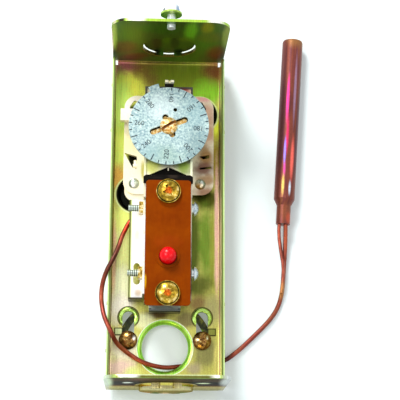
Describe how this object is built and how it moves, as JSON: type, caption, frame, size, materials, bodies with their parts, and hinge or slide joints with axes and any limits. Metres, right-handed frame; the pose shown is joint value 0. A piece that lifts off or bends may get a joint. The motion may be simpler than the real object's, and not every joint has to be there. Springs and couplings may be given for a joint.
{
  "type": "high limit temperature control",
  "caption": "Manual-reset high limit control with its cover off: folded case back, graduated dial, switch with red reset button, and a capillary to a copper bulb.",
  "frame": {"origin": "centre of the spud hole in the inner face of the case back", "axes": "+X across the case to the right, +Y along the case towards the cover screw, +Z out of the back towards the cover"},
  "size_m": [0.0909, 0.1622, 0.0553],
  "materials": {
    "case_back": "yellow chromated zinc plate, glossy",
    "cover_screw": "clear zinc plate",
    "cover_screw_washer": "olive chromated zinc plate",
    "retainer_clamp": "bronze chromated zinc plate",
    "clamp_screws": "bronze chromated zinc plate",
    "mechanism_frame": "pale chromated zinc plate",
    "base_plate": "pale chromated zinc plate",
    "ear_rivets": "bright plated",
    "power_element": "drawn brass",
    "element_nut": "turned brass",
    "operating_lever": "pale chromated zinc plate",
    "lever_pin": "ground steel",
    "range_spring": "oiled spring steel",
    "spring_cap": "turned brass",
    "adjusting_screw": "turned brass",
    "dial_hub": "bright brass",
    "dial": "clear zinc plate, spangled",
    "switch_housing": "black phenolic moulding",
    "switch_card": "orange-brown laminate",
    "terminal_cups": "brass plate",
    "terminal_screws": "bright brass",
    "reset_button": "glossy red",
    "reset_spring": "bright wire",
    "side_bracket": "clear zinc plate",
    "through_screws": "clear zinc plate",
    "square_nuts": "yellow chromated zinc plate",
    "end_clip": "grey phosphate",
    "capillary": "dull copper",
    "fill_stub": "dull copper",
    "bulb": "oxidised copper"
  },
  "bodies": {
    "base": {"case_back": "case_back", "cover_screw": "cover_screw", "cover_screw_washer": "cover_screw_washer", "mechanism_frame": "mechanism_frame", "base_plate": "base_plate", "ear_rivets": "ear_rivets", "power_element": "power_element", "element_nut": "element_nut", "lever_pin": "lever_pin", "range_spring": "range_spring", "spring_cap": "spring_cap", "switch_housing": "switch_housing", "switch_card": "switch_card", "terminal_cups": "terminal_cups", "terminal_screws": "terminal_screws", "reset_spring": "reset_spring", "side_bracket": "side_bracket", "through_screws": "through_screws", "square_nuts": "square_nuts", "end_clip": "end_clip", "capillary": "capillary", "fill_stub": "fill_stub", "bulb": "bulb"},
    "dial": {"dial": "dial", "dial_hub": "dial_hub", "adjusting_screw": "adjusting_screw"},
    "reset_button": {"reset_button": "reset_button"},
    "lever": {"operating_lever": "operating_lever"},
    "clamp": {"retainer_clamp": "retainer_clamp", "clamp_screws": "clamp_screws"}
  },
  "joints": [
    {"name": "dial_turn", "type": "hinge", "parent": "base", "child": "dial", "pos_m": [0, 0.0922, 0.0255], "axis": [0, 0, 1], "range_deg": [-7.5, 325.5]},
    {"name": "reset_press", "type": "slide", "parent": "base", "child": "reset_button", "axis": [0, 0, -1], "range_m": [0, 0.002], "stiffness_N_per_m": 600, "deforming": ["reset_spring"]},
    {"name": "lever_pivot", "type": "hinge", "parent": "base", "child": "lever", "pos_m": [0, 0.107, 0.0105], "axis": [-1, 0, 0], "range_deg": [0, 2.5], "stiffness_Nm_per_rad": 2, "deforming": ["range_spring"]},
    {"name": "clamp_slide", "type": "slide", "parent": "base", "child": "clamp", "axis": [0, 1, 0], "range_m": [0, 0.008]}
  ]
}
